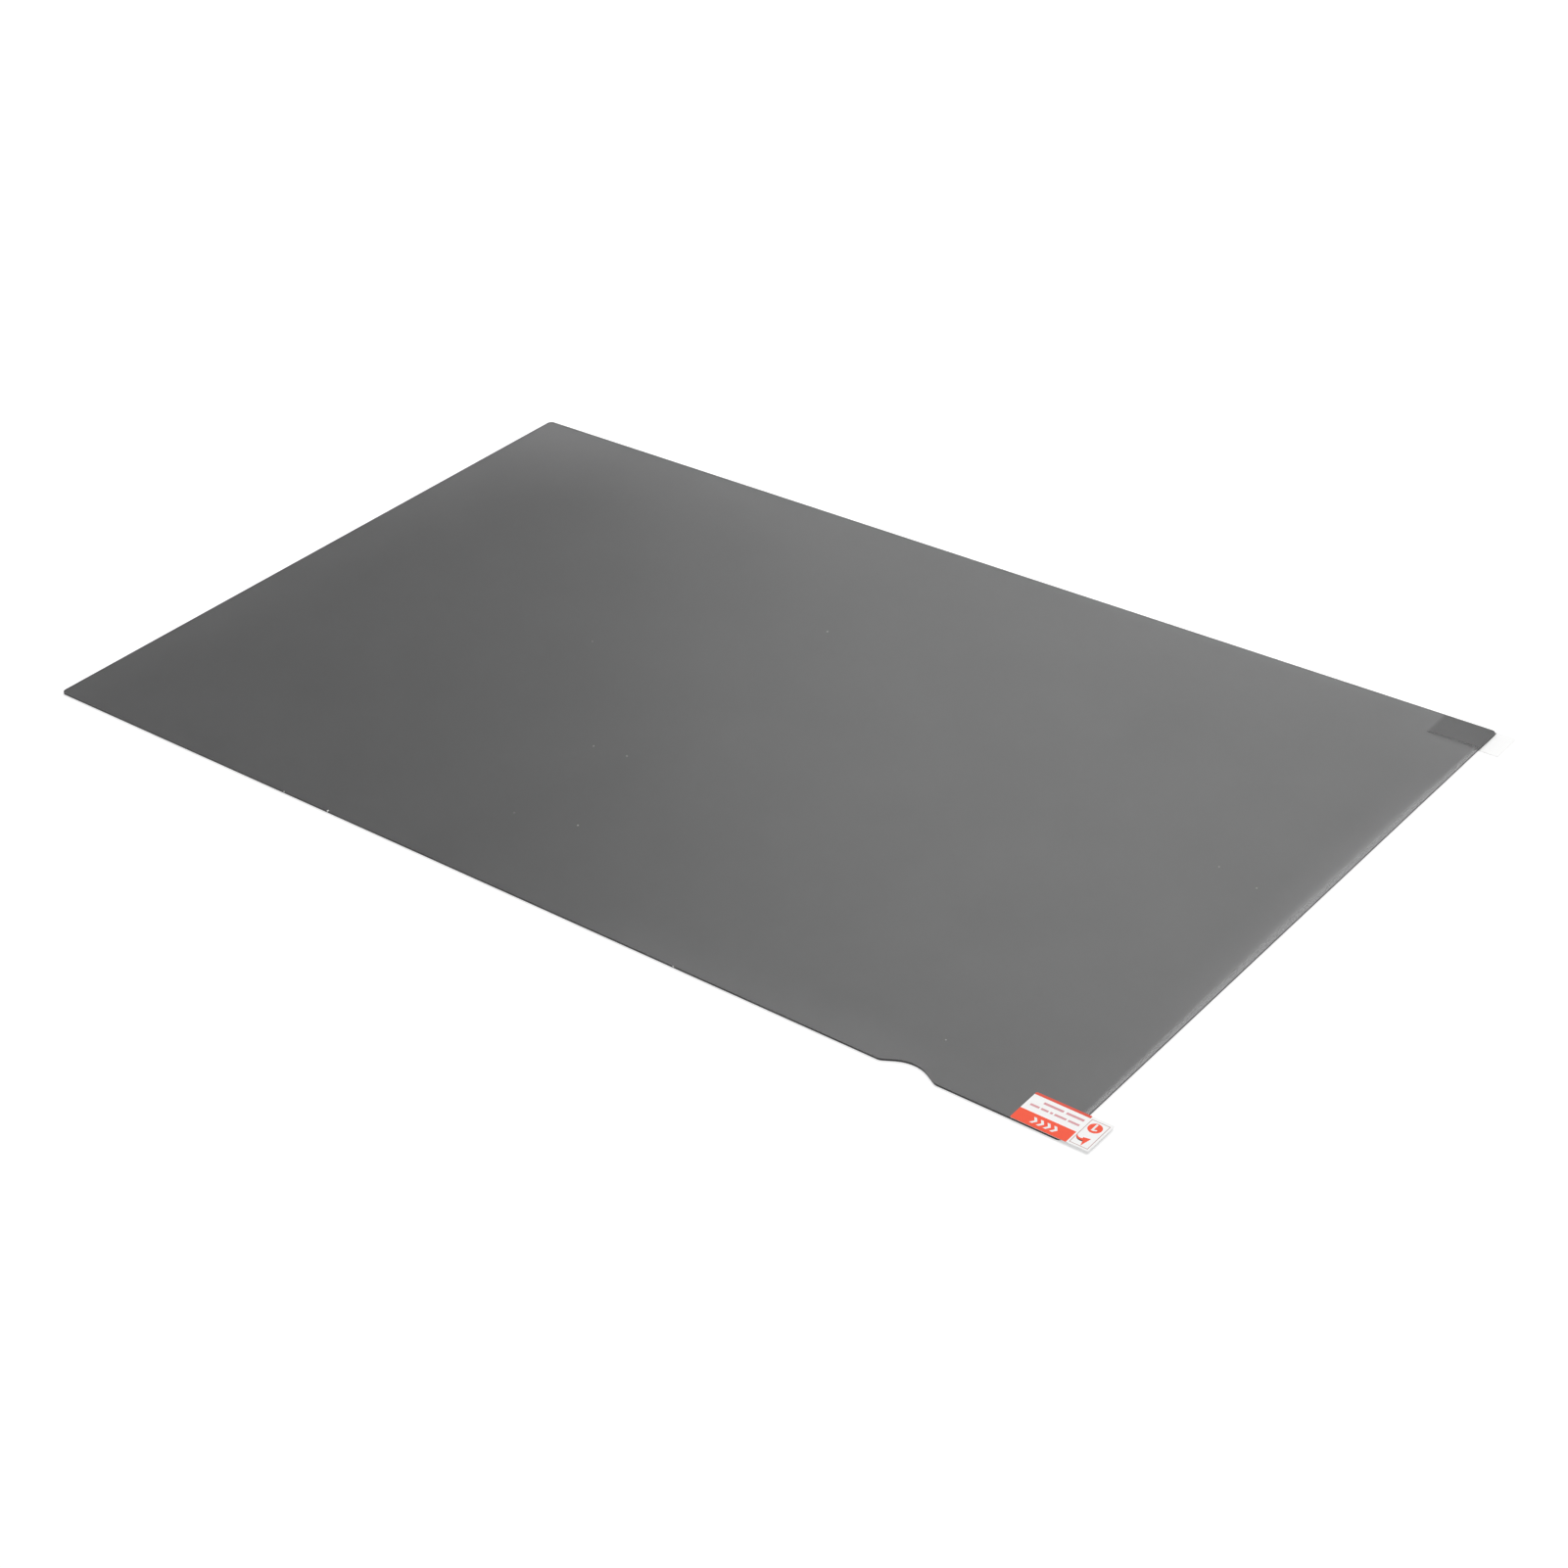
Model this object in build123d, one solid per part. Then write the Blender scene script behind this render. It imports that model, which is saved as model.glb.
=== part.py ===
from build123d import *
from build123d.topology import SkipClean

import os
from math import cos, radians, sin, tan

# A laptop privacy filter as it is sold: one die-cut louvre sheet, a clear peel-off mask on each face,
# and a pull tab stuck to each mask at the right-hand end. Sizes are millimetres and degrees.
# The origin is the middle of the lower mask's underside. +X runs along the long edges towards the tabs,
# +Y away from the edge with the finger notch, and +Z up.

# Louvre sheet
SHEET_LENGTH = 331.0
SHEET_WIDTH = 207.0
SHEET_THICKNESS = 0.5
CORNER_RADIUS = 1.5

# Finger notch in the front edge
NOTCH_FROM_RIGHT = 41.4
NOTCH_DEPTH = 3.0
NOTCH_CROWN_RADIUS = 9.0
NOTCH_FLANK_ANGLE = 29.5
NOTCH_ENTRY_RADIUS = 2.5

# Mask films
MASK_THICKNESS = 0.05

# Pull tabs, and how far each hangs over the right edge and over the long edge that it lies along
TAB_LENGTH = 20.4
TAB_WIDTH = 10.8
TAB_THICKNESS = 0.1
TAB_CORNER_RADIUS = 0.4
BACK_TAB_OVERHANG = 6.9
BACK_TAB_SIDE_OVERHANG = 0.05
FRONT_TAB_OVERHANG = 5.4
FRONT_TAB_SIDE_OVERHANG = 0.4

# Places that follow from those sizes
FRONT_EDGE = -SHEET_WIDTH / 2
BACK_EDGE = SHEET_WIDTH / 2
NOTCH_X = SHEET_LENGTH / 2 - NOTCH_FROM_RIGHT
BACK_TAB_X = SHEET_LENGTH / 2 + BACK_TAB_OVERHANG - TAB_LENGTH / 2
BACK_TAB_Y = FRONT_EDGE - BACK_TAB_SIDE_OVERHANG + TAB_WIDTH / 2
FRONT_TAB_X = SHEET_LENGTH / 2 + FRONT_TAB_OVERHANG - TAB_LENGTH / 2
FRONT_TAB_Y = BACK_EDGE + FRONT_TAB_SIDE_OVERHANG - TAB_WIDTH / 2
SHEET_BASE = MASK_THICKNESS
BACK_MASK_BASE = SHEET_BASE + SHEET_THICKNESS
BACK_TAB_BASE = BACK_MASK_BASE + MASK_THICKNESS


def finger_notch():
    """The notch in plan: a round crown between two straight flanks that run on past the front edge."""
    flank = radians(NOTCH_FLANK_ANGLE)
    crown_half_width = NOTCH_CROWN_RADIUS * sin(flank)
    flank_top = NOTCH_DEPTH - NOTCH_CROWN_RADIUS * (1 - cos(flank))
    run_on = NOTCH_DEPTH
    foot_half_width = crown_half_width + (flank_top + run_on) / tan(flank)
    flanks = Polyline(
        (-crown_half_width, flank_top),
        (-foot_half_width, -run_on),
        (foot_half_width, -run_on),
        (crown_half_width, flank_top),
    )
    crown = ThreePointArc((crown_half_width, flank_top), (0, NOTCH_DEPTH), (-crown_half_width, flank_top))
    return Pos(NOTCH_X, FRONT_EDGE) * make_face(flanks + crown)


def die_cut_outline():
    """The outline that the sheet and both masks share, with the notch's two entry corners rounded."""
    blank = RectangleRounded(SHEET_LENGTH, SHEET_WIDTH, CORNER_RADIUS) - finger_notch()
    front_corners = blank.vertices().group_by(Axis.Y)[0]
    entry_corners = front_corners.sort_by(lambda corner: abs(corner.X - NOTCH_X))[:2]
    return fillet(entry_corners, NOTCH_ENTRY_RADIUS)


def tab_outline(x, y):
    """A pull tab in plan, partly on the sheet and partly past its right edge."""
    return Pos(x, y) * RectangleRounded(TAB_LENGTH, TAB_WIDTH, TAB_CORNER_RADIUS)


def mask_film(outline, tab):
    """A mask film at height 0. The patch that its tab is glued to stays a face of its own."""
    free_film = extrude(outline - tab, MASK_THICKNESS)
    glued_film = extrude(outline & tab, MASK_THICKNESS)
    with SkipClean():
        return free_film + glued_film


outline = die_cut_outline()
back_tab = tab_outline(BACK_TAB_X, BACK_TAB_Y)
front_tab = tab_outline(FRONT_TAB_X, FRONT_TAB_Y)

nodes = {
    "filter_sheet": Pos(0, 0, SHEET_BASE) * extrude(outline, SHEET_THICKNESS),
    "back_mask_film": Pos(0, 0, BACK_MASK_BASE) * mask_film(outline, back_tab),
    "front_mask_film": mask_film(outline, front_tab),
    "back_pull_tab": Pos(0, 0, BACK_TAB_BASE) * extrude(back_tab, TAB_THICKNESS),
    "front_pull_tab": Pos(0, 0, -TAB_THICKNESS) * extrude(front_tab, TAB_THICKNESS),
}

os.makedirs("parts", exist_ok=True)
for name, solid in nodes.items():
    export_step(solid, f"parts/{name}.step")
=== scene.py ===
import random
from math import cos, pi, radians, sin

import bmesh
import bpy
from mathutils import Matrix, Vector


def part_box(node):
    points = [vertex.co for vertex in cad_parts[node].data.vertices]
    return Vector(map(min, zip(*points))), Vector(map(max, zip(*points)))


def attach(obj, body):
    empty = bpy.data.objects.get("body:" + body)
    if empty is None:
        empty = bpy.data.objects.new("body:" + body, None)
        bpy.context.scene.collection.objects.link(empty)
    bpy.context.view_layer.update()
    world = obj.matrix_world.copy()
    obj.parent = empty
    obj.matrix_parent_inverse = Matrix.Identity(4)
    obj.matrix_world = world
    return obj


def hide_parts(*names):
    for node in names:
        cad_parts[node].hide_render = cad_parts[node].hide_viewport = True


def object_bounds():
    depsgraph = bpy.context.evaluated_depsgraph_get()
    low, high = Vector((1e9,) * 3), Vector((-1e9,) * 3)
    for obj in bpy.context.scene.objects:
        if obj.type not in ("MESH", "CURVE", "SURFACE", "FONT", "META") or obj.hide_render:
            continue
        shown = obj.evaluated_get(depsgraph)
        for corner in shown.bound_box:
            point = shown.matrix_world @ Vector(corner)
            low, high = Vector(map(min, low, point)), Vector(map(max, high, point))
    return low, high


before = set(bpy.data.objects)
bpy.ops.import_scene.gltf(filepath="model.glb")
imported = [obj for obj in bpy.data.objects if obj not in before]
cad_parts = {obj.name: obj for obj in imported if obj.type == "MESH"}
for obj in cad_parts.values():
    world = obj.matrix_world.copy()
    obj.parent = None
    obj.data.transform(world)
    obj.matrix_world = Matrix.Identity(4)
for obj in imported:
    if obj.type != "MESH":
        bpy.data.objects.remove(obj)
cad_low, cad_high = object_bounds()

MM = 0.001
ROOT = "root"
WHITE = (1.0, 1.0, 1.0, 1.0)

# Camera, as found from the sheet's outline in the photograph
CAMERA_AZIMUTH = radians(41.0272)
CAMERA_ELEVATION = radians(32.6312)
CAMERA_ROLL = radians(-3.0963)
CAMERA_DISTANCE = 781.766 * MM
CAMERA_AIM = Vector((4.786, -40.324, 0.0)) * MM
CAMERA_LENS = 68.692
CAMERA_SENSOR = 36.0
CAMERA_SHIFT_X = 0.06902
CAMERA_CLIP_START = 0.01

# Lamps, both facing the origin: place, width and height in metres, and power in watts
TOP_SOFTBOX = ((0.1, 0.3, 1.4), 1.4, 1.2, 18.6)
BACK_SOFTBOX = ((-0.24, 1.26, 0.80), 1.54, 0.88, 5.95)

# Surround: its strength near the horizon and overhead, and the heights between which that changes
SURROUND_STRENGTH = (1.0, 0.12)
SURROUND_SPAN = (0.20, 0.50)

# Floor: half its side, its colour, its glow near the object and far out, and the distances of those
FLOOR_HALF = 6.0
FLOOR_COLOUR = (0.56, 0.56, 0.56, 1.0)
FLOOR_GLOW = (0.55, 1.0)
FLOOR_GLOW_SPAN = (0.45, 1.4)

# Noise: features to the metre, detail and roughness
GRAIN_NOISE = (140.0, 2.0, 0.5)
CLOUD_NOISE = (22.0, 3.0, 0.5)
SMEAR_NOISE = (30.0, 4.0, 0.6)
FIBRE_NOISE = (2600.0, 3.0, 0.6)
COVER_NOISE = (900.0, 4.0, 0.65)

# A face counts as level where the upright part of its normal is more than this
LEVEL = 0.5

# Louvre sheet
SHEET_DARK = (0.0445, 0.0445, 0.0455, 1.0)
SHEET_LIGHT = (0.050, 0.050, 0.051, 1.0)
# A pale grey used for light painted into the sheet's margins
SHEET_PAINTED_LIGHT = (0.160, 0.160, 0.163, 1.0)
SHEET_MOTTLE_SPAN = (0.3, 0.7)
SHEET_ROUGHNESS = (0.34, 0.42)
SHEET_SPECULAR = 0.77
SHEET_IOR = 1.58
FACE_SHEEN = WHITE
CUT_EDGE = (0.008, 0.008, 0.009, 1.0)
CUT_EDGE_SHEEN = (0.30, 0.30, 0.30, 1.0)
CUT_EDGE_ALPHA = 0.97

# Zones of the sheet as ramps: the line each is measured from, and its 0 and 1 in millimetres from there
SHEET_ZONES = {
    "swell": (("front", 15.0, 95.0), ("back", -10.0, -60.0)),
    "right_margin": (("right", -12.0, 0.0),),
    "front_margin": (("front", 16.0, -4.0), ("centre_x", 10.0, 50.0), ("centre_x", 145.0, 115.0)),
    "back_edge": (("back", -5.0, 0.0), ("centre_x", -60.0, 60.0)),
    "back_right": (("back", -45.0, 5.0), ("centre_x", 0.0, 90.0)),
    "back_left": (("back", -45.0, 5.0), ("left", 170.0, 0.0)),
    "left_margin": (("left", 24.0, -4.0),),
    "left_corner": (("left", 45.0, 0.0), ("centre_y", 10.0, 70.0)),
    "before_tab": (("tab_front", 0.5, -0.5),),
    "over_tab": (("tab_left", -0.3, 0.3), ("tab_front", -0.3, 0.3)),
    "tab_edge": (("tab_front", -0.05, 0.05), ("tab_front", 1.0, 0.5), ("tab_left", 0.0, 1.0)),
}

# Right rim: its width and its strength, at its two ends and where it swells between them
RIM_WIDTH = (1.9 * MM, 3.7 * MM)
RIM_STRENGTH = (1.35, 1.15)

# Share of light that passes the sheet away from these zones, and what each of them adds to it; the clearer
# right rim shows more of the glowing floor as a painted band of light, and the strip along the tab's front
# border shows the unlit label below as a painted shadow line
SHEET_CLEAR = 0.065
ZONE_CLEAR = {
    "right_rim": 0.161,
    "tab_edge": 0.07,
    "over_tab": 0.035,
    "back_left": 0.03,
    "left_margin": 0.008,
    "left_corner": 0.013,
}

# How far each zone takes the sheet's colour towards a paler one, which is painted light: a lighter band
# along the right edge and lighter margins elsewhere
ZONE_PAINTED_LIGHT = {
    "right_rim": 1.0,
    "right_glow": 0.225,
    "front_margin": 0.224,
    "back_rim": 0.14,
    "back_left": 0.40,
    "left_margin": 0.114,
    "left_corner": 0.179,
}

# Mask films: their tints, the air left round each, and the distance within which mesh points are one
FILM_CLEAR = WHITE
FILM_DULL = (0.97, 0.97, 0.97, 1.0)
FILM_CLEARANCE = 0.01 * MM
FILM_WELD = 0.001 * MM

# Label stock, and the painted shade in grey on its top where it lies under the sheet
LABEL_WHITE = (0.90, 0.90, 0.895, 1.0)
LABEL_SHADE = (0.86, 0.86, 0.855, 1.0)
LABEL_ROUGHNESS = (0.42, 0.58)
LABEL_BUMP = 0.15
LABEL_FIBRE_HEIGHT = 0.02 * MM
UNDER_SHEET_SHADE_LIGHT = (0.24, 0.24, 0.24, 1.0)
UNDER_SHEET_SHADE_DARK = (0.18, 0.18, 0.18, 1.0)

# Inks: the colour of each and the deeper one that it goes to in places
INKS = {
    "red": ((0.93, 0.100, 0.042, 1.0), (0.86, 0.080, 0.034, 1.0)),
    "stripe": ((0.76, 0.085, 0.050, 1.0), (0.69, 0.072, 0.042, 1.0)),
    "fine": ((0.70, 0.35, 0.37, 1.0), (0.62, 0.29, 0.31, 1.0)),
    "line": ((0.56, 0.40, 0.38, 1.0), (0.48, 0.33, 0.32, 1.0)),
    "shade": ((0.070, 0.022, 0.018, 1.0), (0.045, 0.016, 0.014, 1.0)),
    "white": ((0.86, 0.86, 0.85, 1.0), (0.82, 0.81, 0.80, 1.0)),
}
INK_ROUGHNESS = (0.48, 0.62)
INK_SPECULAR = 0.25

# How far ink stands proud of the label and how deep it is keyed into it
INK_HEIGHT = 0.008 * MM
INK_ROOT = 0.004 * MM

# The upper tab's print, in millimetres along the tab and across it from its inner front corner
TAB_CORNER = 0.4
FIELD_END = 14.65
BAR_BACK = 4.25
STRIPE_FRONT = 9.95
MARK_COUNT = 4
MARK_START = (4.4, 2.1)
MARK_PITCH = 1.75
MARK_LENGTH = 1.5
MARK_WIDTH = 2.1
MARK_STROKE = 0.75
KEYLINE = (15.08, 0.58, 19.86, 9.94)
KEYLINE_STROKE = 0.18
DISC_CENTRE = (17.34, 7.58)
DISC_RADIUS = 1.7
NUMERAL_PLACE = (17.11, 7.72)

# Rows of fine print: start, middle line, lengths of the dashes, gap between them and their width
FINE_ROWS = (
    (3.5, 8.40, (5.2, 4.6), 0.70, 0.72),
    (1.2, 6.40, (2.4, 1.9, 0.7, 3.1, 2.9), 0.45, 0.66),
)

# A plain figure one, from its place
NUMERAL_ONE = (
    (-0.30, -1.15),
    (0.30, -1.15),
    (1.00, -0.80),
    (1.00, -0.42),
    (0.24, -0.62),
    (0.24, 1.30),
    (-0.24, 1.30),
)

# The swept arrow and the dark underside of its tail: handles of their curves, and the head's corners
ARROW_BACK = ((15.20, 3.86), (15.70, 3.05), (16.30, 2.95), (16.95, 3.22))
ARROW_HEAD = ((16.95, 3.22), (16.80, 3.60), (18.60, 3.98), (17.86, 0.78))
ARROW_FRONT = ((17.45, 2.30), (16.75, 2.10), (15.85, 2.25), (15.20, 3.30))
SHADE_BACK = ((15.34, 3.08), (15.90, 2.46), (16.70, 2.34), (17.48, 2.58))
SHADE_FRONT = ((17.46, 2.26), (16.75, 2.06), (15.85, 2.20), (15.34, 3.08))

# Lint on the upper mask film: place in plan and radius in millimetres, colours and flatness
DUST = (
    (-61.2, 3.0, 0.11),
    (-24.4, -39.3, 0.155),
    (-13.9, -38.0, 0.175),
    (-2.6, -70.8, 0.195),
    (124.8, -89.1, 0.19),
    (-10.0, 45.3, 0.20),
    (-20.0, -75.9, 0.10),
    (139.1, 7.4, 0.145),
    (151.2, 4.6, 0.185),
)
LINT_COLOURS = ((0.38, 0.38, 0.37, 1.0), (0.29, 0.29, 0.28, 1.0))
LINT_RISE = 0.35

# Nicks in the front edge: the same, and how far below the top of the upper mask film they lie
EDGE_NICKS = (
    (-76.7, -103.45, 0.22),
    (-60.6, -103.4, 0.32),
    (55.8, -103.5, 0.21),
)
BURR_COLOURS = ((0.78, 0.78, 0.77, 1.0), (0.60, 0.60, 0.59, 1.0))
BURR_RISE = 0.8
BURR_DROP = 0.25 * MM

# Specks: the seed, the subdivisions, and the middle's height, stretch and shake as shares of the radius
SPECK_SEED = 5
SPECK_SUBDIVISIONS = 2
SPECK_SEAT = 0.3
SPECK_STRETCH = (1.0, 2.0)
SPECK_SHAKE = 0.15

# The upright shake as a share of the sideways one
SPECK_SHAKE_UPRIGHT = 0.2


# Node helpers


def feed(tree, value, socket):
    """Links a socket to an input, or sets the input to a plain value."""
    if isinstance(value, bpy.types.NodeSocket):
        tree.links.new(value, socket)
    else:
        socket.default_value = value


def add_node(tree, kind, **inputs):
    """A new node with some of its inputs fed by name."""
    node = tree.nodes.new(kind)
    for name, value in inputs.items():
        feed(tree, value, node.inputs[name.replace("_", " ")])
    return node


def new_material(name):
    """An empty node material, its tree and its output's surface."""
    material = bpy.data.materials.new(name)
    material.use_nodes = True
    tree = material.node_tree
    tree.nodes.clear()
    return material, tree, tree.nodes.new("ShaderNodeOutputMaterial").inputs["Surface"]


def math_node(tree, operation, *operands):
    """A sum on sockets and numbers."""
    node = tree.nodes.new("ShaderNodeMath")
    node.operation = operation
    for slot, value in enumerate(operands):
        feed(tree, value, node.inputs[slot])
    return node.outputs[0]


def product(tree, first, *others):
    """Sockets multiplied together."""
    for other in others:
        first = math_node(tree, "MULTIPLY", first, other)
    return first


def ramp_between(tree, value, low, high, smooth=True):
    """0 where the value is at low and 1 where it is at high, clamped."""
    node = tree.nodes.new("ShaderNodeMapRange")
    node.interpolation_type = "SMOOTHSTEP" if smooth else "LINEAR"
    node.clamp = True
    feed(tree, value, node.inputs["Value"])
    node.inputs["From Min"].default_value = low
    node.inputs["From Max"].default_value = high
    return node.outputs["Result"]


def scaled_to(tree, value, low, high):
    """A 0 to 1 value spread between low and high."""
    node = tree.nodes.new("ShaderNodeMapRange")
    feed(tree, value, node.inputs["Value"])
    node.inputs["To Min"].default_value = low
    node.inputs["To Max"].default_value = high
    return node.outputs["Result"]


def mixed_value(tree, factor, first, second):
    """A number between two others; each is a socket or a number."""
    node = tree.nodes.new("ShaderNodeMix")
    for slot, value in ((0, factor), (2, first), (3, second)):
        feed(tree, value, node.inputs[slot])
    return node.outputs[0]


def mixed_colour(tree, factor, first, second):
    """A colour between two others; each is a socket or four numbers."""
    node = tree.nodes.new("ShaderNodeMix")
    node.data_type = "RGBA"
    for slot, value in ((0, factor), (6, first), (7, second)):
        feed(tree, value, node.inputs[slot])
    return node.outputs[2]


def noise(tree, place, scale, detail, roughness):
    """Noise in object space."""
    node = add_node(tree, "ShaderNodeTexNoise", Scale=scale, Detail=detail, Roughness=roughness)
    feed(tree, place.outputs["Object"], node.inputs["Vector"])
    return node.outputs["Fac"]


def bump(tree, height, strength, distance):
    """A bump normal from a height."""
    node = add_node(tree, "ShaderNodeBump", Height=height, Strength=strength, Distance=distance)
    return node.outputs["Normal"]


def split(tree, vector):
    """The three axes of a vector."""
    return add_node(tree, "ShaderNodeSeparateXYZ", Vector=vector).outputs


# Materials


def sheet_zones(tree, x, y):
    """The sheet's zones by name, each the product of its ramps and so 0 well outside them."""
    low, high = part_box("filter_sheet")
    tab_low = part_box("front_pull_tab")[0]
    lines = {
        "left": (x, low.x),
        "centre_x": (x, 0.0),
        "right": (x, high.x),
        "front": (y, low.y),
        "centre_y": (y, 0.0),
        "back": (y, high.y),
        "tab_left": (x, tab_low.x),
        "tab_front": (y, tab_low.y),
    }
    zones = {}
    for name, ramps in SHEET_ZONES.items():
        sockets = []
        for line, start, end in ramps:
            axis, origin = lines[line]
            sockets.append(ramp_between(tree, axis, origin + start * MM, origin + end * MM))
        zones[name] = product(tree, *sockets)

    swell = zones["swell"]
    width = scaled_to(tree, swell, *RIM_WIDTH)
    depth = math_node(tree, "DIVIDE", math_node(tree, "SUBTRACT", high.x, x), width)
    strength = scaled_to(tree, swell, *RIM_STRENGTH)
    zones["right_rim"] = product(tree, ramp_between(tree, depth, 1.0, 0.0), zones["before_tab"], strength)
    zones["right_glow"] = product(tree, zones["right_margin"], swell)
    off_tab = math_node(tree, "SUBTRACT", 1.0, zones["over_tab"])
    back = math_node(tree, "ADD", zones["back_edge"], zones["back_right"])
    zones["back_rim"] = product(tree, back, off_tab)
    return zones


def weighed(tree, start, zones, weights):
    """A start value and what each zone adds to it."""
    for name, weight in weights.items():
        start = math_node(tree, "MULTIPLY_ADD", zones[name], weight, start)
    return start


def louvre_sheet_material():
    """Satin dark plastic, partly see-through, clearer in some of its margins, with painted light that makes
    some margins paler.
    """
    material, tree, surface = new_material("louvre_sheet")
    place = tree.nodes.new("ShaderNodeTexCoord")
    x, y, _ = split(tree, place.outputs["Object"])
    upright = math_node(tree, "ABSOLUTE", split(tree, place.outputs["Normal"])["Z"])
    is_face = math_node(tree, "GREATER_THAN", upright, LEVEL)
    grain = noise(tree, place, *GRAIN_NOISE)
    cloud = noise(tree, place, *CLOUD_NOISE)
    mottle = math_node(tree, "DIVIDE", math_node(tree, "ADD", grain, cloud), 2.0)

    zones = sheet_zones(tree, x, y)
    # Painted light and shade come through the clearer zones too: a light band at the right rim and a shadow
    # line along the tab's front border
    clear = weighed(tree, SHEET_CLEAR, zones, ZONE_CLEAR)
    face_alpha = math_node(tree, "SUBTRACT", 1.0, math_node(tree, "SQRT", clear))
    # Painted light: the margins and a band along the right edge are lightened towards a pale grey
    painted_light = weighed(tree, 0.0, zones, ZONE_PAINTED_LIGHT)
    tone = ramp_between(tree, mottle, *SHEET_MOTTLE_SPAN, smooth=False)
    face_colour = mixed_colour(tree, painted_light, mixed_colour(tree, tone, SHEET_DARK, SHEET_LIGHT), SHEET_PAINTED_LIGHT)

    shader = add_node(
        tree,
        "ShaderNodeBsdfPrincipled",
        Base_Color=mixed_colour(tree, is_face, CUT_EDGE, face_colour),
        Specular_Tint=mixed_colour(tree, is_face, CUT_EDGE_SHEEN, FACE_SHEEN),
        Roughness=scaled_to(tree, mottle, *SHEET_ROUGHNESS),
        Alpha=mixed_value(tree, is_face, CUT_EDGE_ALPHA, face_alpha),
        Specular_IOR_Level=SHEET_SPECULAR,
        IOR=SHEET_IOR,
    )
    feed(tree, shader.outputs[0], surface)
    return material


def mask_film_material():
    """Clear film that lies wet against the sheet, so that only a faint uneven tint of its own is left."""
    material, tree, surface = new_material("mask_film")
    place = tree.nodes.new("ShaderNodeTexCoord")
    smear = noise(tree, place, *SMEAR_NOISE)
    tint = mixed_colour(tree, smear, FILM_DULL, FILM_CLEAR)
    shader = add_node(tree, "ShaderNodeBsdfTransparent", Color=tint)
    feed(tree, shader.outputs[0], surface)
    return material


def label_material(name, shaded_under=None):
    """White label stock with a faint fibre tone, and painted shade in grey on top where it lies below a
    node.
    """
    material, tree, surface = new_material(name)
    place = tree.nodes.new("ShaderNodeTexCoord")
    fibre = noise(tree, place, *FIBRE_NOISE)
    colour = mixed_colour(tree, fibre, LABEL_SHADE, LABEL_WHITE)
    if shaded_under:
        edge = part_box(shaded_under)[1]
        x, y, _ = split(tree, place.outputs["Object"])
        upright = split(tree, place.outputs["Normal"])["Z"]
        stuck = product(
            tree,
            math_node(tree, "LESS_THAN", x, edge.x),
            math_node(tree, "LESS_THAN", y, edge.y),
            math_node(tree, "GREATER_THAN", upright, LEVEL),
        )
        # Painted shade: the label's top goes grey where the sheet covers it
        colour = mixed_colour(tree, stuck, colour, mixed_colour(tree, fibre, UNDER_SHEET_SHADE_DARK, UNDER_SHEET_SHADE_LIGHT))
    shader = add_node(
        tree,
        "ShaderNodeBsdfPrincipled",
        Base_Color=colour,
        Roughness=scaled_to(tree, fibre, *LABEL_ROUGHNESS),
        Normal=bump(tree, fibre, LABEL_BUMP, LABEL_FIBRE_HEIGHT),
    )
    feed(tree, shader.outputs[0], surface)
    return material


def ink_material(name, light, deep):
    """One colour with the slight unevenness of a print."""
    material, tree, surface = new_material(name)
    place = tree.nodes.new("ShaderNodeTexCoord")
    cover = noise(tree, place, *COVER_NOISE)
    shader = add_node(
        tree,
        "ShaderNodeBsdfPrincipled",
        Base_Color=mixed_colour(tree, cover, deep, light),
        Roughness=scaled_to(tree, cover, *INK_ROUGHNESS),
        Specular_IOR_Level=INK_SPECULAR,
    )
    feed(tree, shader.outputs[0], surface)
    return material


def floor_material():
    """White table that shows as white to the camera and keeps the object's shadow."""
    material, tree, surface = new_material("floor")
    rays = tree.nodes.new("ShaderNodeLightPath")
    seen = math_node(tree, "MAXIMUM", rays.outputs["Is Camera Ray"], rays.outputs["Is Glossy Ray"])
    seen = math_node(tree, "MAXIMUM", seen, rays.outputs["Is Transmission Ray"])
    place = tree.nodes.new("ShaderNodeTexCoord")
    reach = add_node(tree, "ShaderNodeVectorMath", Vector=place.outputs["Object"])
    reach.operation = "LENGTH"
    far = ramp_between(tree, reach.outputs["Value"], *FLOOR_GLOW_SPAN)
    strength = product(tree, seen, scaled_to(tree, far, *FLOOR_GLOW))
    glow = add_node(tree, "ShaderNodeEmission", Color=WHITE, Strength=strength)
    matte = add_node(tree, "ShaderNodeBsdfDiffuse", Color=FLOOR_COLOUR)
    both = tree.nodes.new("ShaderNodeAddShader")
    feed(tree, matte.outputs[0], both.inputs[0])
    feed(tree, glow.outputs[0], both.inputs[1])
    feed(tree, both.outputs[0], surface)
    return material


def paint(node, material):
    """Gives a CAD node one material."""
    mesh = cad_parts[node].data
    mesh.materials.clear()
    mesh.materials.append(material)


# Mesh helpers


def in_scene(name, data):
    """A new object in the scene."""
    thing = bpy.data.objects.new(name, data)
    bpy.context.scene.collection.objects.link(thing)
    return thing


def mesh_object(name, builder, material):
    """A new mesh object from a bmesh, which it uses up."""
    mesh = bpy.data.meshes.new(name)
    builder.to_mesh(mesh)
    builder.free()
    mesh.materials.append(material)
    return in_scene(name, mesh)


def finished(name, builder, material):
    """Makes a piece of the object from a bmesh and rides it on the one body."""
    bmesh.ops.recalc_face_normals(builder, faces=builder.faces)
    piece = mesh_object(name, builder, material)
    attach(piece, ROOT)
    return piece


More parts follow.
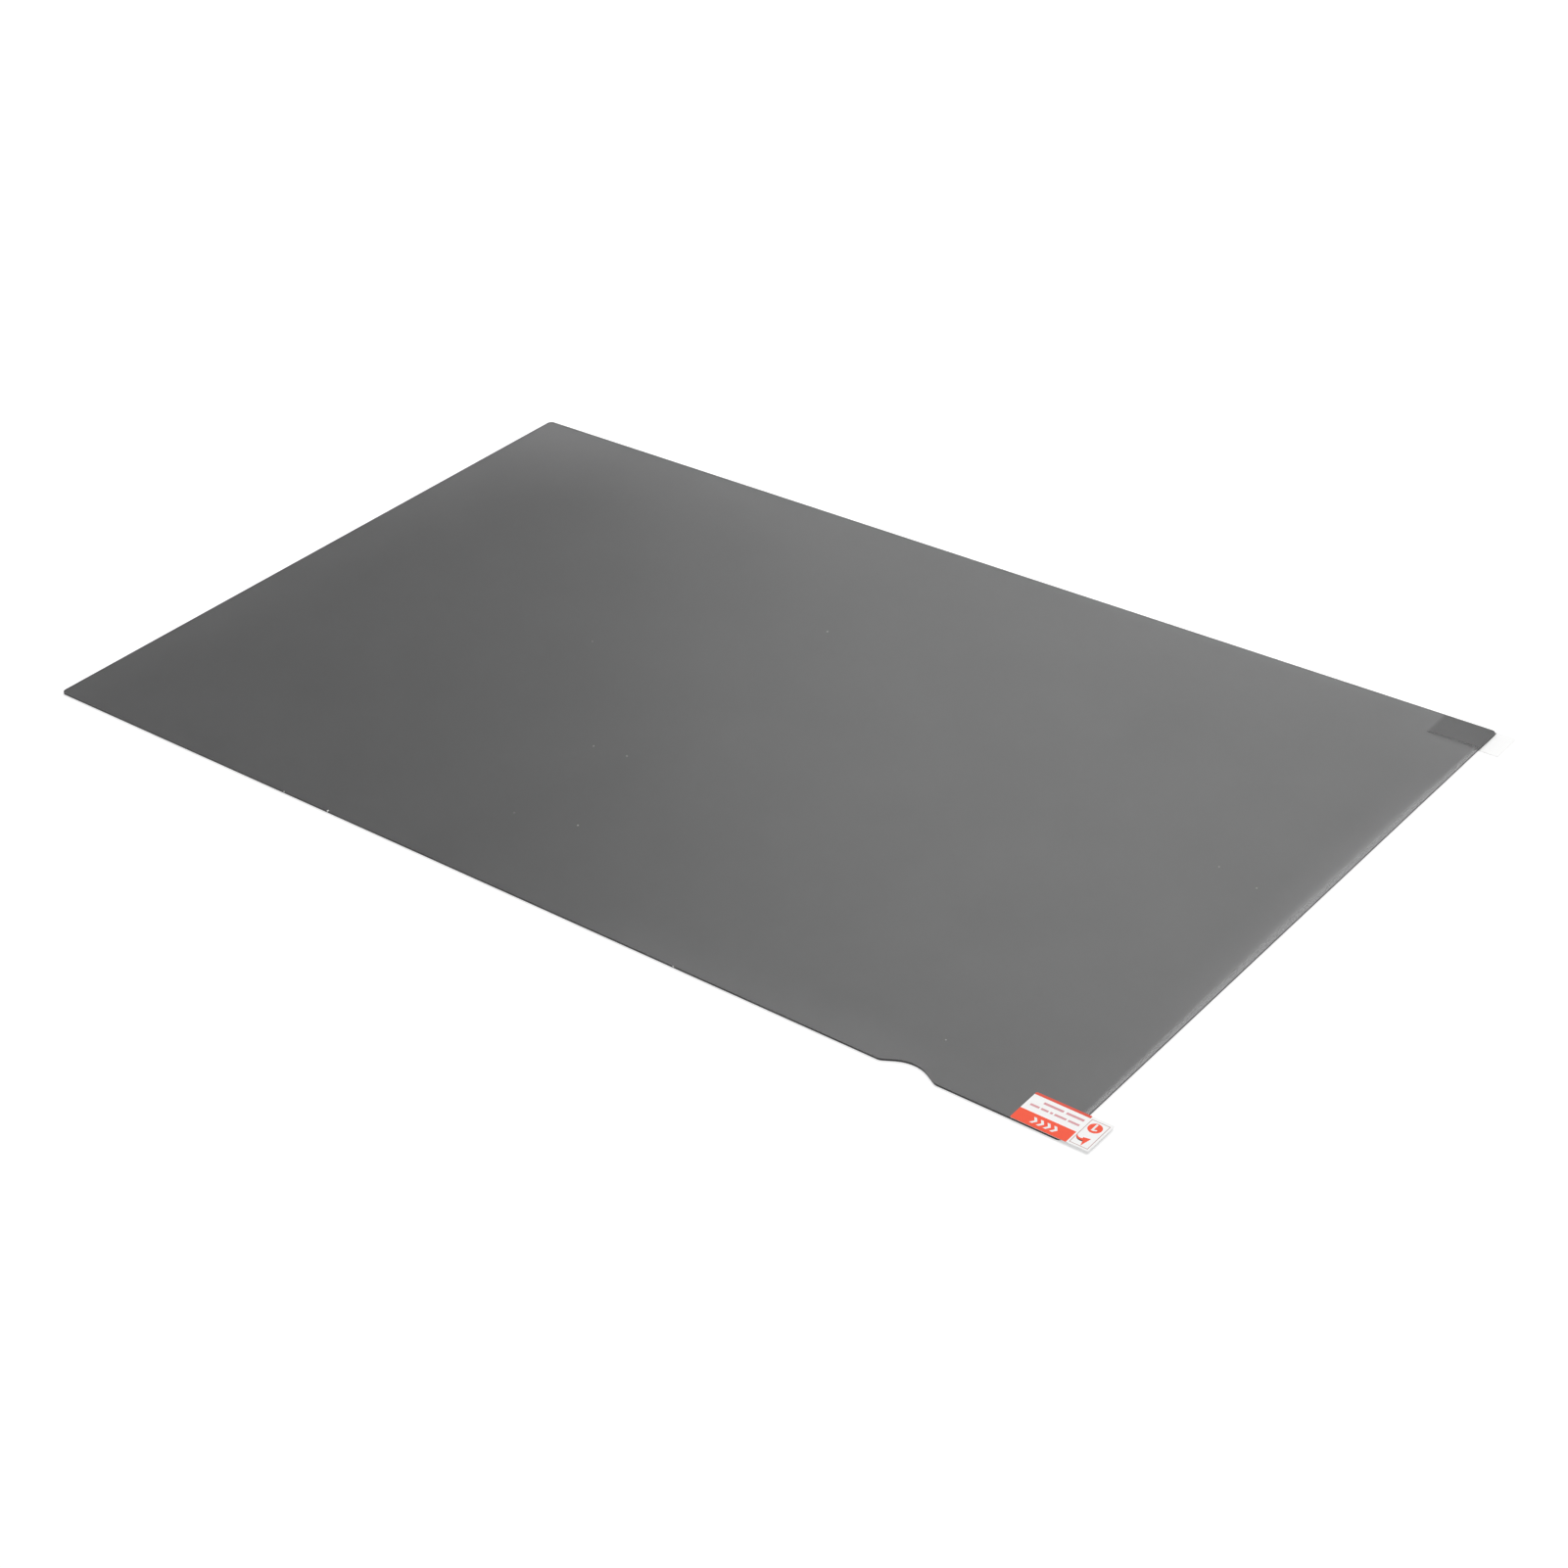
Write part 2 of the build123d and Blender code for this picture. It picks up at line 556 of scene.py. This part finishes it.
def prism(builder, loop, low, high):
    """Adds a closed plate between two heights over a plan outline."""
    below = [builder.verts.new((x, y, low)) for x, y in loop]
    above = [builder.verts.new((x, y, high)) for x, y in loop]
    builder.faces.new(list(reversed(below)))
    builder.faces.new(above)
    count = len(loop)
    for i in range(count):
        j = (i + 1) % count
        builder.faces.new((below[i], below[j], above[j], above[i]))


def ring(builder, outer, inner, low, high):
    """Adds a closed band between two plan outlines with as many points each."""
    rows = []
    for loop in (outer, inner):
        rows.append([builder.verts.new((x, y, low)) for x, y in loop])
        rows.append([builder.verts.new((x, y, high)) for x, y in loop])
    out_low, out_high, in_low, in_high = rows
    count = len(outer)
    for i in range(count):
        j = (i + 1) % count
        builder.faces.new((out_low[i], out_low[j], out_high[j], out_high[i]))
        builder.faces.new((out_high[i], out_high[j], in_high[j], in_high[i]))
        builder.faces.new((in_high[i], in_high[j], in_low[j], in_low[i]))
        builder.faces.new((in_low[i], in_low[j], out_low[j], out_low[i]))


def rectangle(u0, v0, u1, v1):
    """The corners of a rectangle."""
    return [(u0, v0), (u1, v0), (u1, v1), (u0, v1)]


def arc(u, v, radius, start, end, count=8):
    """Points along an arc between two angles in degrees."""
    angles = [radians(start + (end - start) * k / count) for k in range(count + 1)]
    return [(u + radius * cos(angle), v + radius * sin(angle)) for angle in angles]


def disc(u, v, radius, count=64):
    """Points round a circle."""
    angles = [2 * pi * k / count for k in range(count)]
    return [(u + radius * cos(angle), v + radius * sin(angle)) for angle in angles]


def bezier(handles, count=14):
    """Points along a cubic curve with four handles, without the last one."""
    a, b, c, d = (Vector(handle) for handle in handles)
    points = []
    for k in range(count):
        t = k / count
        p = a * (1 - t) ** 3 + b * 3 * t * (1 - t) ** 2 + c * 3 * t * t * (1 - t) + d * t ** 3
        points.append((p.x, p.y))
    return points


# Pieces


def mask_film(node, name, material):
    """A mask film on its CAD outline, with air above and below so that no two faces lie in one plane."""
    low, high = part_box(node)
    middle = (low.z + high.z) / 2
    builder = bmesh.new()
    builder.from_mesh(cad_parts[node].data)
    bmesh.ops.remove_doubles(builder, verts=builder.verts, dist=FILM_WELD)
    for vertex in builder.verts:
        vertex.co.z = high.z - FILM_CLEARANCE if vertex.co.z > middle else low.z + FILM_CLEARANCE
    piece = finished(name, builder, material)
    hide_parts(node)


class TabPrint:
    """Lays inked shapes on the upper tab, in millimetres from its inner front corner."""

    def __init__(self):
        low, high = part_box("back_pull_tab")
        self.corner = Vector((low.x, low.y))
        self.width = (high.y - low.y) / MM
        self.top = high.z

    def placed(self, loop):
        """An outline in the frame's metres."""
        return [(self.corner.x + u * MM, self.corner.y + v * MM) for u, v in loop]

    def plates(self, name, loops, material, layer=0):
        """A piece of filled outlines, on the label or on a layer of other ink."""
        builder = bmesh.new()
        low = self.top - INK_ROOT + layer * INK_HEIGHT
        high = self.top + INK_HEIGHT + layer * INK_HEIGHT
        for loop in loops:
            prism(builder, self.placed(loop), low, high)
        finished(name, builder, material)

    def band(self, name, outer, inner, material):
        """A piece between two outlines."""
        builder = bmesh.new()
        low = self.top - INK_ROOT
        high = self.top + INK_HEIGHT
        ring(builder, self.placed(outer), self.placed(inner), low, high)
        finished(name, builder, material)


def red_bar():
    """The broad field along the tab's front edge."""
    corner = arc(TAB_CORNER, TAB_CORNER, TAB_CORNER, 180, 270)
    return corner + [(FIELD_END, 0.0), (FIELD_END, BAR_BACK), (0.0, BAR_BACK)]


def red_stripe(width):
    """The narrow field along the back edge of a tab of some width."""
    corner = arc(TAB_CORNER, width - TAB_CORNER, TAB_CORNER, 90, 180)
    return corner + [(0.0, STRIPE_FRONT), (FIELD_END, STRIPE_FRONT), (FIELD_END, width)]


def pull_mark(number):
    """One of the chevrons that point along the pull."""
    u, v = MARK_START
    u += MARK_PITCH * number
    half = MARK_WIDTH / 2
    return [
        (u, v - half),
        (u + MARK_STROKE, v - half),
        (u + MARK_LENGTH, v),
        (u + MARK_STROKE, v + half),
        (u, v + half),
        (u + MARK_LENGTH - MARK_STROKE, v),
    ]


def dashes(u, v, lengths, gap, width):
    """A row of plain bars that stands for a line of small print."""
    loops = []
    for length in lengths:
        loops.append(rectangle(u, v - width / 2, u + length, v + width / 2))
        u += length + gap
    return loops


def keyline():
    """The outer and inner outlines of the thin frame round the tab's pull end."""
    u0, v0, u1, v1 = KEYLINE
    inner = rectangle(u0 + KEYLINE_STROKE, v0 + KEYLINE_STROKE, u1 - KEYLINE_STROKE, v1 - KEYLINE_STROKE)
    return rectangle(u0, v0, u1, v1), inner


def numeral():
    """The figure in the disc, read from the tab's back edge."""
    u, v = NUMERAL_PLACE
    return [(u + du, v + dv) for du, dv in NUMERAL_ONE]


def peel_arrow():
    """A short swept arrow: a tail that turns into a broad head."""
    return bezier(ARROW_BACK) + list(ARROW_HEAD) + bezier(ARROW_FRONT)


def arrow_shade():
    """The dark underside of the arrow's tail."""
    return bezier(SHADE_BACK) + bezier(SHADE_FRONT)


def print_tab(inks):
    """The upper tab's print: two red fields, plain marks, and a framed pull end with a disc and an arrow."""
    tab = TabPrint()
    tab.plates("tab_red_bar", [red_bar()], inks["red"])
    tab.plates("tab_red_stripe", [red_stripe(tab.width)], inks["stripe"])
    tab.plates("tab_pull_marks", [pull_mark(number) for number in range(MARK_COUNT)], inks["white"], 1)
    tab.plates("tab_fine_print", [dash for row in FINE_ROWS for dash in dashes(*row)], inks["fine"])
    tab.band("tab_keyline", *keyline(), inks["line"])
    tab.plates("tab_disc", [disc(*DISC_CENTRE, DISC_RADIUS)], inks["red"])
    tab.plates("tab_numeral", [numeral()], inks["white"], 1)
    tab.plates("tab_arrow", [peel_arrow()], inks["red"])
    tab.plates("tab_arrow_shade", [arrow_shade()], inks["shade"], 1)


def specks(name, places, height, rise, material):
    """Small uneven flakes at one height, kept behind the front of the CAD box."""
    draw = random.Random(SPECK_SEED)
    builder = bmesh.new()
    for x, y, radius in places:
        size = radius * MM
        turn = Matrix.Rotation(draw.uniform(0.0, pi), 4, "Z")
        stretch = Matrix.Diagonal((draw.uniform(*SPECK_STRETCH), 1.0, rise, 1.0))
        seat = Matrix.Translation((x * MM, y * MM, height + SPECK_SEAT * size))
        made = bmesh.ops.create_icosphere(
            builder,
            subdivisions=SPECK_SUBDIVISIONS,
            radius=size,
            matrix=seat @ turn @ stretch,
        )
        for vertex in made["verts"]:
            sideways = (draw.uniform(-1, 1), draw.uniform(-1, 1))
            shake = Vector((*sideways, draw.uniform(-SPECK_SHAKE_UPRIGHT, SPECK_SHAKE_UPRIGHT)))
            vertex.co += shake * SPECK_SHAKE * size
            vertex.co.y = max(vertex.co.y, cad_low.y)
    finished(name, builder, material)


def floor(material):
    """A wide plain table under the lowest point of the object."""
    builder = bmesh.new()
    corners = rectangle(-FLOOR_HALF, -FLOOR_HALF, FLOOR_HALF, FLOOR_HALF)
    builder.faces.new([builder.verts.new((x, y, cad_low.z)) for x, y in corners])
    table = mesh_object("floor", builder, material)


# Light and camera


def softbox(name, place, width, height, watts):
    """A rectangular area lamp that faces the origin."""
    lamp = bpy.data.lights.new(name, "AREA")
    lamp.shape = "RECTANGLE"
    lamp.size = width
    lamp.size_y = height
    lamp.energy = watts
    holder = in_scene(name, lamp)
    holder.location = place
    holder.rotation_euler = (-Vector(place)).to_track_quat("-Z", "Y").to_euler()


def studio_world():
    """A white surround near the horizon that falls off to grey overhead."""
    world = bpy.data.worlds.new("studio")
    world.use_nodes = True
    tree = world.node_tree
    tree.nodes.clear()
    output = tree.nodes.new("ShaderNodeOutputWorld")
    place = tree.nodes.new("ShaderNodeTexCoord")
    upright = split(tree, place.outputs["Generated"])["Z"]
    overhead = ramp_between(tree, upright, *SURROUND_SPAN)
    strength = scaled_to(tree, overhead, *SURROUND_STRENGTH)
    sky = add_node(tree, "ShaderNodeBackground", Color=WHITE, Strength=strength)
    feed(tree, sky.outputs[0], output.inputs["Surface"])
    bpy.context.scene.world = world


def camera():
    """The photograph's view."""
    back = Vector((
        sin(CAMERA_AZIMUTH) * cos(CAMERA_ELEVATION),
        -cos(CAMERA_AZIMUTH) * cos(CAMERA_ELEVATION),
        sin(CAMERA_ELEVATION),
    ))
    level = Vector((0.0, 0.0, 1.0)).cross(back).normalized()
    rise = back.cross(level)
    right = cos(CAMERA_ROLL) * level + sin(CAMERA_ROLL) * rise
    up = -sin(CAMERA_ROLL) * level + cos(CAMERA_ROLL) * rise
    eye = CAMERA_AIM + back * CAMERA_DISTANCE
    data = bpy.data.cameras.new("camera")
    data.lens = CAMERA_LENS
    data.sensor_width = CAMERA_SENSOR
    data.shift_x = CAMERA_SHIFT_X
    data.clip_start = CAMERA_CLIP_START
    holder = in_scene("camera", data)
    holder.matrix_world = Matrix((
        (right.x, up.x, back.x, eye.x),
        (right.y, up.y, back.y, eye.y),
        (right.z, up.z, back.z, eye.z),
        (0.0, 0.0, 0.0, 1.0),
    ))
    bpy.context.scene.camera = holder


film = mask_film_material()
printed = {name: ink_material(f"{name}_ink", *colours) for name, colours in INKS.items()}
lint = ink_material("lint", *LINT_COLOURS)
burr = ink_material("burr", *BURR_COLOURS)

paint("filter_sheet", louvre_sheet_material())
paint("back_pull_tab", label_material("label_stock"))
paint("front_pull_tab", label_material("stuck_label_stock", "filter_sheet"))
mask_film("back_mask_film", "upper_mask_film", film)
mask_film("front_mask_film", "lower_mask_film", film)
print_tab(printed)
film_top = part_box("back_mask_film")[1].z - FILM_CLEARANCE
specks("dust_specks", DUST, film_top, LINT_RISE, lint)
specks("edge_nicks", EDGE_NICKS, film_top - BURR_DROP, BURR_RISE, burr)
floor(floor_material())

studio_world()
softbox("top_softbox", *TOP_SOFTBOX)
softbox("back_softbox", *BACK_SOFTBOX)
camera()

bpy.context.scene.view_settings.view_transform = "Standard"
